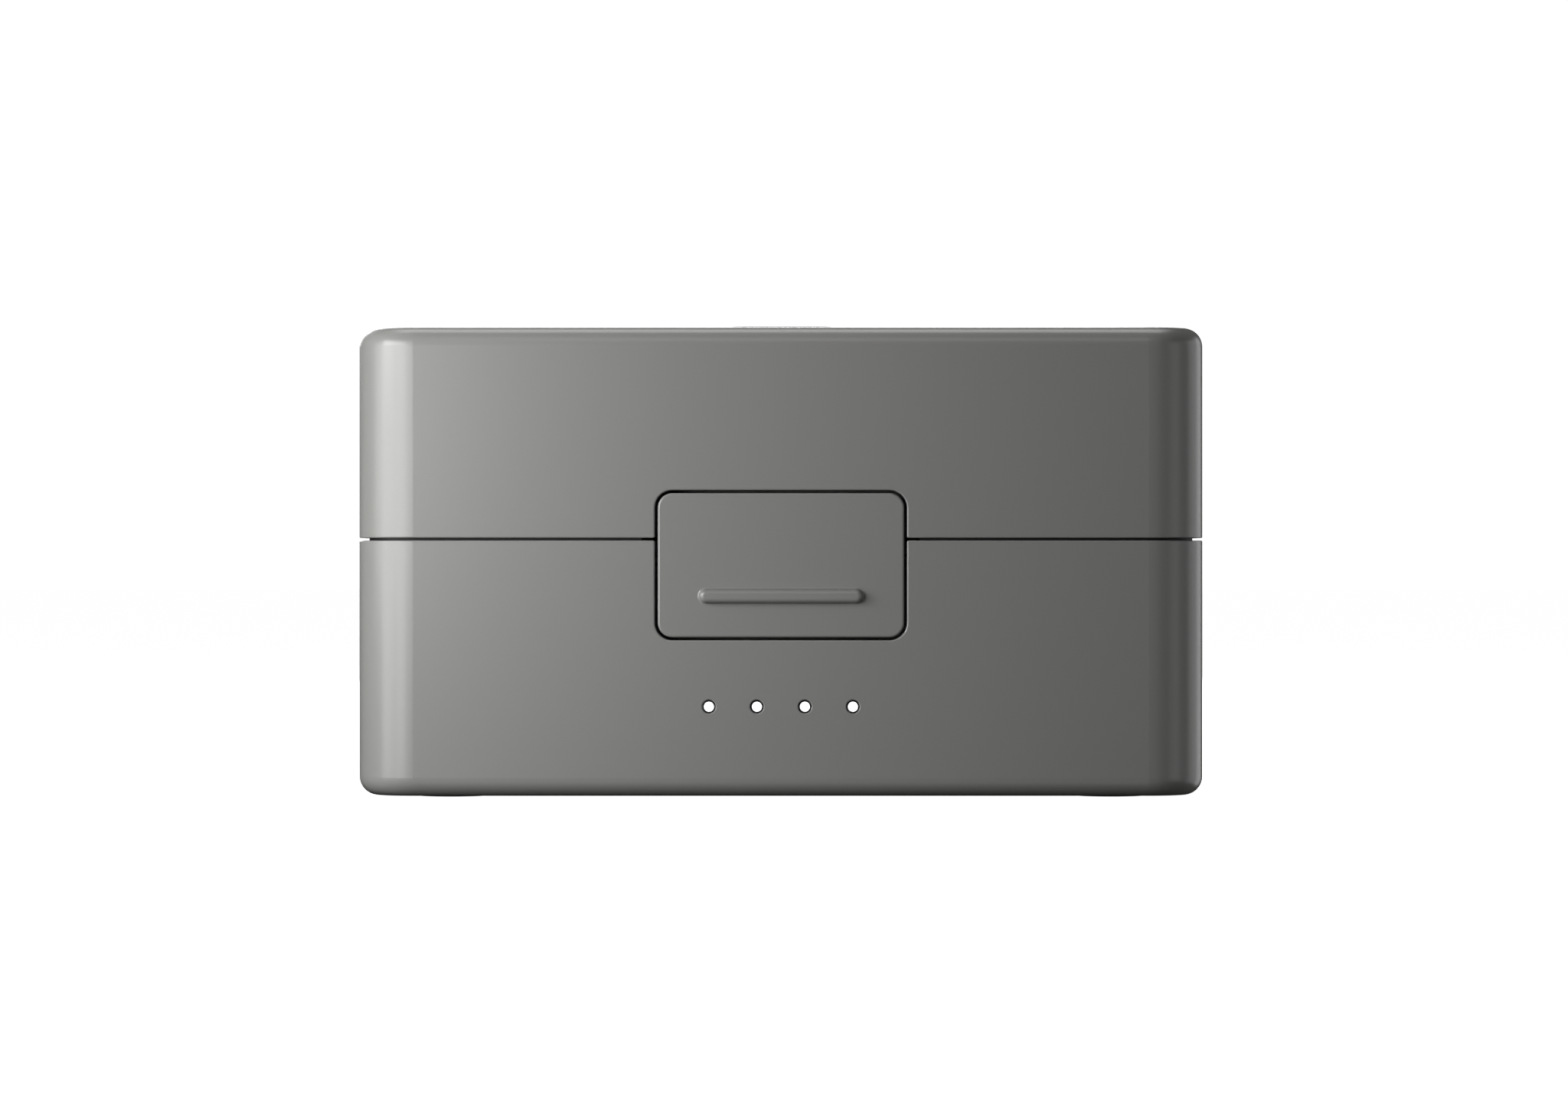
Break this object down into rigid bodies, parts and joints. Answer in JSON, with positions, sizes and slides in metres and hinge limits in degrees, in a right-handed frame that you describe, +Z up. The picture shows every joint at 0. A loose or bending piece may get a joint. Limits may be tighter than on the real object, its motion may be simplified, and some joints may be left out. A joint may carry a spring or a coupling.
{
  "type": "battery charging case",
  "caption": "Small lidded charging case for removable batteries, with a rounded box body, a rear hinge, a rocker latch in the front and charge lights below it.",
  "frame": {"origin": "on the table, under the middle of the case", "axes": "+X to the right across the width, +Y to the rear, +Z up; the front with the latch faces -Y"},
  "size_m": [0.11, 0.0418, 0.0616],
  "materials": {
    "case_paint": "satin",
    "inner_moulding": "matt",
    "badge_plate": "satin",
    "clear_light_pipe": "gloss",
    "led_package": "gloss",
    "foot_rubber": "matt",
    "pad_foam": "matt",
    "screw_steel": "satin",
    "pin_steel": "polished",
    "spring_steel": "satin",
    "contact_gold": "polished",
    "board_laminate": "satin",
    "chip_black": "matt",
    "inductor_ferrite": "matt",
    "capacitor_ceramic": "satin",
    "usb_steel": "satin",
    "connector_nylon": "matt",
    "connector_black": "matt",
    "cell_pouch": "satin",
    "cell_tape_foam": "matt",
    "lead_red": "satin",
    "lead_black": "satin"
  },
  "bodies": {
    "base": {"base_shell": "case_paint", "base_tray": "inner_moulding", "base_screws": "screw_steel", "circuit_board_screws": "screw_steel", "hinge_pin": "pin_steel", "latch_pin": "pin_steel", "latch_springs": "spring_steel", "main_circuit_board": "board_laminate", "charge_controller_chip": "chip_black", "microcontroller_chip": "chip_black", "power_inductors": "inductor_ferrite", "capacitors": "capacitor_ceramic", "status_leds": "led_package", "light_pipe_strip": "clear_light_pipe", "usb_socket_shell": "usb_steel", "usb_socket_tongue": "connector_black", "lithium_cell": "cell_pouch", "cell_tape": "cell_tape_foam", "cell_protection_board": "board_laminate", "cell_lead_positive": "lead_red", "cell_lead_negative": "lead_black", "cell_plug": "connector_nylon", "cell_socket": "connector_nylon", "foot_front_left": "foot_rubber", "foot_front_right": "foot_rubber", "foot_rear_left": "foot_rubber", "foot_rear_right": "foot_rubber", "contact_block_left": "connector_black", "contact_barrels_left": "contact_gold", "contact_springs_left": "spring_steel", "contact_block_middle": "connector_black", "contact_barrels_middle": "contact_gold", "contact_springs_middle": "spring_steel", "contact_block_right": "connector_black", "contact_barrels_right": "contact_gold", "contact_springs_right": "spring_steel"},
    "lid": {"lid_shell": "case_paint", "lid_badge": "badge_plate", "lid_liner": "inner_moulding", "lid_liner_screws": "screw_steel", "keeper_plate": "pin_steel", "keeper_screws": "screw_steel", "lid_pad_left": "pad_foam", "lid_pad_middle": "pad_foam", "lid_pad_right": "pad_foam"},
    "latch": {"latch_panel": "case_paint"},
    "contacts_left": {"contact_pins_left": "contact_gold"},
    "contacts_middle": {"contact_pins_middle": "contact_gold"},
    "contacts_right": {"contact_pins_right": "contact_gold"}
  },
  "joints": [
    {"name": "lid_hinge", "type": "hinge", "parent": "base", "child": "lid", "pos_m": [0, 0.0186, 0.0336], "axis": [-1, 0, 0], "range_deg": [0, 100]},
    {"name": "latch_press", "type": "hinge", "parent": "base", "child": "latch", "pos_m": [0, -0.0172, 0.0309], "axis": [1, 0, 0], "range_deg": [0, 6], "stiffness_Nm_per_rad": 0.1, "springref_deg": -2.86, "deforming": ["latch_springs"]},
    {"name": "contact_slide_left", "type": "slide", "parent": "base", "child": "contacts_left", "axis": [0, 0, -1], "range_m": [0, 0.0012], "stiffness_N_per_m": 1200, "springref_m": -0.0004, "deforming": ["contact_springs_left"]},
    {"name": "contact_slide_middle", "type": "slide", "parent": "base", "child": "contacts_middle", "axis": [0, 0, -1], "range_m": [0, 0.0012], "stiffness_N_per_m": 1200, "springref_m": -0.0004, "deforming": ["contact_springs_middle"]},
    {"name": "contact_slide_right", "type": "slide", "parent": "base", "child": "contacts_right", "axis": [0, 0, -1], "range_m": [0, 0.0012], "stiffness_N_per_m": 1200, "springref_m": -0.0004, "deforming": ["contact_springs_right"]}
  ]
}
